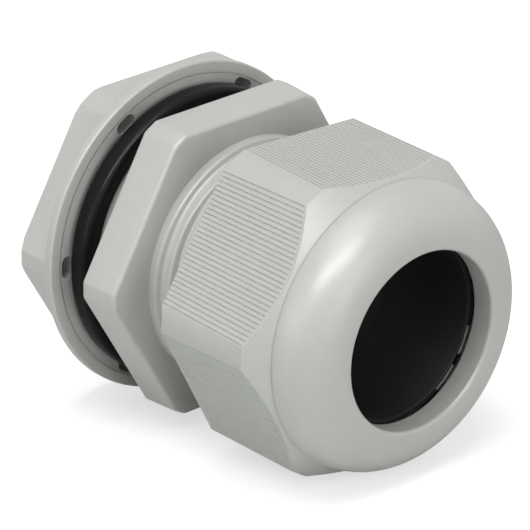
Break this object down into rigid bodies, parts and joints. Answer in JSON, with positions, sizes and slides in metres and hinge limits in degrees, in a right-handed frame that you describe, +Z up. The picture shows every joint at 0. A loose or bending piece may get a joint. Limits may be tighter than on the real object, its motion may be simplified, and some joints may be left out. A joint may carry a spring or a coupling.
{
  "type": "cable gland",
  "caption": "Plastic cable gland with a fixed hexagon, a ribbed domed nut that closes claws on a rubber seal, a gasket and a flanged locknut.",
  "frame": {"origin": "centre of the panel seat, where the gland's axis crosses the back face of the fixed hexagon", "axes": "+X along the axis, out of the dome; +Z up with the gland lying on its side, through the middle of a flat of the fixed hexagon"},
  "size_m": [0.0699, 0.061, 0.061],
  "materials": {
    "grey_polyamide": "satin moulded light grey",
    "black_rubber": "dull black elastomer",
    "gasket_rubber": "smooth black elastomer with a faint gloss"
  },
  "bodies": {
    "gland_body": {"gland_body": "grey_polyamide"},
    "seal": {"sealing_insert": "black_rubber"},
    "dome_nut": {"dome_nut": "grey_polyamide"},
    "gasket": {"gasket": "gasket_rubber"},
    "locknut": {"locknut": "grey_polyamide"},
    "claw_01": {"claw_01": "grey_polyamide"},
    "claw_02": {"claw_02": "grey_polyamide"},
    "claw_03": {"claw_03": "grey_polyamide"},
    "claw_04": {"claw_04": "grey_polyamide"},
    "claw_05": {"claw_05": "grey_polyamide"},
    "claw_06": {"claw_06": "grey_polyamide"},
    "claw_07": {"claw_07": "grey_polyamide"},
    "claw_08": {"claw_08": "grey_polyamide"},
    "claw_09": {"claw_09": "grey_polyamide"},
    "claw_10": {"claw_10": "grey_polyamide"},
    "claw_11": {"claw_11": "grey_polyamide"},
    "claw_12": {"claw_12": "grey_polyamide"},
    "claw_13": {"claw_13": "grey_polyamide"},
    "claw_14": {"claw_14": "grey_polyamide"},
    "claw_15": {"claw_15": "grey_polyamide"}
  },
  "joints": [
    {"name": "dome_nut_travel", "type": "slide", "parent": "gland_body", "child": "seal", "axis": [1, 0, 0], "range_m": [-0.00421, 0.00201], "deforming": ["sealing_insert"]},
    {"name": "dome_nut_spin", "type": "hinge", "parent": "seal", "child": "dome_nut", "pos_m": [0.03, 0, 0], "axis": [1, 0, 0], "range_deg": [-504, 240]},
    {"name": "locknut_travel", "type": "slide", "parent": "gland_body", "child": "gasket", "axis": [-1, 0, 0], "range_m": [-0.0035, 0.0055]},
    {"name": "locknut_spin", "type": "hinge", "parent": "gasket", "child": "locknut", "pos_m": [-0.0126, 0, 0], "axis": [-1, 0, 0], "range_deg": [-790, 1240]},
    {"name": "claw_01_flex", "type": "hinge", "parent": "gland_body", "child": "claw_01", "pos_m": [0.0283, 0.02, 0], "axis": [0, 0, -1], "range_deg": [-6.1, 12.7]},
    {"name": "claw_02_flex", "type": "hinge", "parent": "gland_body", "child": "claw_02", "pos_m": [0.0283, 0.01827, 0.00813], "axis": [0, 0.4067, -0.9135], "range_deg": [-6.1, 12.7]},
    {"name": "claw_03_flex", "type": "hinge", "parent": "gland_body", "child": "claw_03", "pos_m": [0.0283, 0.01338, 0.01486], "axis": [0, 0.7431, -0.6691], "range_deg": [-6.1, 12.7]},
    {"name": "claw_04_flex", "type": "hinge", "parent": "gland_body", "child": "claw_04", "pos_m": [0.0283, 0.00618, 0.01902], "axis": [0, 0.9511, -0.309], "range_deg": [-6.1, 12.7]},
    {"name": "claw_05_flex", "type": "hinge", "parent": "gland_body", "child": "claw_05", "pos_m": [0.0283, -0.00209, 0.01989], "axis": [0, 0.9945, 0.1045], "range_deg": [-6.1, 12.7]},
    {"name": "claw_06_flex", "type": "hinge", "parent": "gland_body", "child": "claw_06", "pos_m": [0.0283, -0.01, 0.01732], "axis": [0, 0.866, 0.5], "range_deg": [-6.1, 12.7]},
    {"name": "claw_07_flex", "type": "hinge", "parent": "gland_body", "child": "claw_07", "pos_m": [0.0283, -0.01618, 0.01176], "axis": [0, 0.5878, 0.809], "range_deg": [-6.1, 12.7]},
    {"name": "claw_08_flex", "type": "hinge", "parent": "gland_body", "child": "claw_08", "pos_m": [0.0283, -0.01956, 0.00416], "axis": [0, 0.2079, 0.9781], "range_deg": [-6.1, 12.7]},
    {"name": "claw_09_flex", "type": "hinge", "parent": "gland_body", "child": "claw_09", "pos_m": [0.0283, -0.01956, -0.00416], "axis": [0, -0.2079, 0.9781], "range_deg": [-6.1, 12.7]},
    {"name": "claw_10_flex", "type": "hinge", "parent": "gland_body", "child": "claw_10", "pos_m": [0.0283, -0.01618, -0.01176], "axis": [0, -0.5878, 0.809], "range_deg": [-6.1, 12.7]},
    {"name": "claw_11_flex", "type": "hinge", "parent": "gland_body", "child": "claw_11", "pos_m": [0.0283, -0.01, -0.01732], "axis": [0, -0.866, 0.5], "range_deg": [-6.1, 12.7]},
    {"name": "claw_12_flex", "type": "hinge", "parent": "gland_body", "child": "claw_12", "pos_m": [0.0283, -0.00209, -0.01989], "axis": [0, -0.9945, 0.1045], "range_deg": [-6.1, 12.7]},
    {"name": "claw_13_flex", "type": "hinge", "parent": "gland_body", "child": "claw_13", "pos_m": [0.0283, 0.00618, -0.01902], "axis": [0, -0.9511, -0.309], "range_deg": [-6.1, 12.7]},
    {"name": "claw_14_flex", "type": "hinge", "parent": "gland_body", "child": "claw_14", "pos_m": [0.0283, 0.01338, -0.01486], "axis": [0, -0.7431, -0.6691], "range_deg": [-6.1, 12.7]},
    {"name": "claw_15_flex", "type": "hinge", "parent": "gland_body", "child": "claw_15", "pos_m": [0.0283, 0.01827, -0.00813], "axis": [0, -0.4067, -0.9135], "range_deg": [-6.1, 12.7]}
  ],
  "couplings": [
    {"joint": "dome_nut_travel", "follows": "dome_nut_spin", "m_per_rad": 0.00047746},
    {"joint": "locknut_travel", "follows": "locknut_spin", "m_per_rad": 0.00025266},
    {"joint": "claw_01_flex", "follows": "dome_nut_spin", "ratio": -0.025067},
    {"joint": "claw_02_flex", "follows": "dome_nut_spin", "ratio": -0.025067},
    {"joint": "claw_03_flex", "follows": "dome_nut_spin", "ratio": -0.025067},
    {"joint": "claw_04_flex", "follows": "dome_nut_spin", "ratio": -0.025067},
    {"joint": "claw_05_flex", "follows": "dome_nut_spin", "ratio": -0.025067},
    {"joint": "claw_06_flex", "follows": "dome_nut_spin", "ratio": -0.025067},
    {"joint": "claw_07_flex", "follows": "dome_nut_spin", "ratio": -0.025067},
    {"joint": "claw_08_flex", "follows": "dome_nut_spin", "ratio": -0.025067},
    {"joint": "claw_09_flex", "follows": "dome_nut_spin", "ratio": -0.025067},
    {"joint": "claw_10_flex", "follows": "dome_nut_spin", "ratio": -0.025067},
    {"joint": "claw_11_flex", "follows": "dome_nut_spin", "ratio": -0.025067},
    {"joint": "claw_12_flex", "follows": "dome_nut_spin", "ratio": -0.025067},
    {"joint": "claw_13_flex", "follows": "dome_nut_spin", "ratio": -0.025067},
    {"joint": "claw_14_flex", "follows": "dome_nut_spin", "ratio": -0.025067},
    {"joint": "claw_15_flex", "follows": "dome_nut_spin", "ratio": -0.025067}
  ]
}
